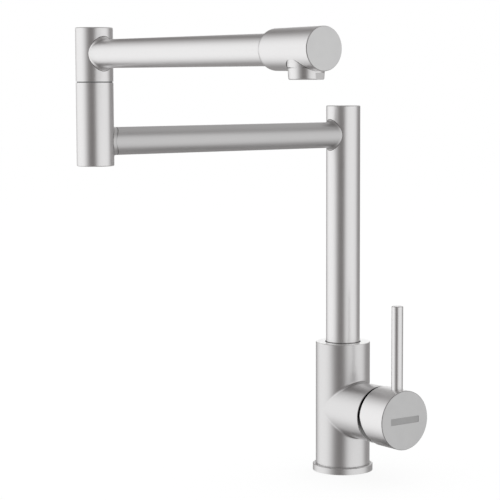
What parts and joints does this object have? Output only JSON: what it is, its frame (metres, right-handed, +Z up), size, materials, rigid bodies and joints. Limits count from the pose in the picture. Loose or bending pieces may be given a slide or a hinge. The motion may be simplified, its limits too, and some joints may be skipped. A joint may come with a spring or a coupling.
{
  "type": "kitchen mixer tap with a double-jointed swing spout",
  "caption": "Deck-mounted side-lever kitchen mixer tap in satin stainless steel with a tall swivelling column and a folding two-arm pot-filler spout.",
  "frame": {"origin": "on the column's axis at the deck surface, the underside of the base ring", "axes": "+Z up along the column, lower arm towards -Y, upper arm and lever drum towards +X"},
  "size_m": [0.3043, 0.2775, 0.4165],
  "materials": {
    "satin_steel": "satin, finely brushed along the tubes",
    "turned_steel": "fine turned",
    "brass": "machined",
    "dark_steel": "oiled",
    "black_rubber": "matte",
    "white_plastic": "matte moulded",
    "grey_plastic": "matte moulded",
    "white_ceramic": "lapped"
  },
  "bodies": {
    "tap_body": {"base_ring": "satin_steel", "body_shell": "satin_steel", "dome_cover": "turned_steel", "fixing_washer": "turned_steel", "threaded_shank": "turned_steel", "fixing_nut": "brass", "cartridge_retaining_nut": "brass", "swivel_lock_screw": "dark_steel", "base_gasket": "black_rubber", "fixing_gasket": "black_rubber", "cartridge_port_seals": "black_rubber", "swivel_thrust_washer": "white_plastic", "cartridge_base": "white_plastic", "cartridge_housing": "white_plastic", "ceramic_disc_fixed": "white_ceramic"},
    "column_and_lower_arm": {"column_spigot": "turned_steel", "swivel_glide_rings": "white_plastic", "swivel_o_rings": "black_rubber", "column_tube": "satin_steel", "column_top_cap": "satin_steel", "lower_arm_tube": "satin_steel", "elbow_lower_post": "satin_steel", "elbow_bottom_cap": "satin_steel", "elbow_bearing_bush": "white_plastic", "elbow_thrust_washer": "white_plastic"},
    "upper_arm_and_head": {"elbow_spindle": "turned_steel", "elbow_glide_rings": "white_plastic", "elbow_o_rings": "black_rubber", "elbow_circlip": "dark_steel", "elbow_upper_post": "satin_steel", "elbow_top_cap": "satin_steel", "upper_arm_tube": "satin_steel", "spout_head": "satin_steel", "aerator_housing": "satin_steel", "aerator_washer": "black_rubber", "aerator_insert": "grey_plastic"},
    "cartridge_turner": {"cartridge_rotor": "white_plastic", "spindle_pivot_pin": "turned_steel"},
    "lever": {"cartridge_spindle": "turned_steel", "handle_hub": "satin_steel", "lever_rod": "satin_steel", "hub_grub_screw": "dark_steel", "hub_screw_plug": "grey_plastic"},
    "sliding_disc": {"ceramic_disc_moving": "white_ceramic", "disc_carrier": "white_plastic"}
  },
  "joints": [
    {"name": "column_swivel", "type": "hinge", "parent": "tap_body", "child": "column_and_lower_arm", "pos_m": [0, 0, 0.1035], "axis": [0, 0, 1], "continuous": true},
    {"name": "elbow_swivel", "type": "hinge", "parent": "column_and_lower_arm", "child": "upper_arm_and_head", "pos_m": [0, -0.2365, 0.3242], "axis": [0, 0, 1], "continuous": true},
    {"name": "lever_temperature", "type": "hinge", "parent": "tap_body", "child": "cartridge_turner", "pos_m": [0.035, 0, 0.0534], "axis": [1, 0, 0], "range_deg": [-50, 50]},
    {"name": "lever_tilt", "type": "hinge", "parent": "cartridge_turner", "child": "lever", "pos_m": [0.035, 0, 0.0534], "axis": [0, 1, 0], "range_deg": [0, 20]},
    {"name": "disc_slide", "type": "slide", "parent": "cartridge_turner", "child": "sliding_disc", "axis": [0, 0, 1], "range_m": [0, 0.0026]}
  ],
  "couplings": [
    {"joint": "disc_slide", "follows": "lever_tilt", "m_per_rad": 0.007}
  ]
}
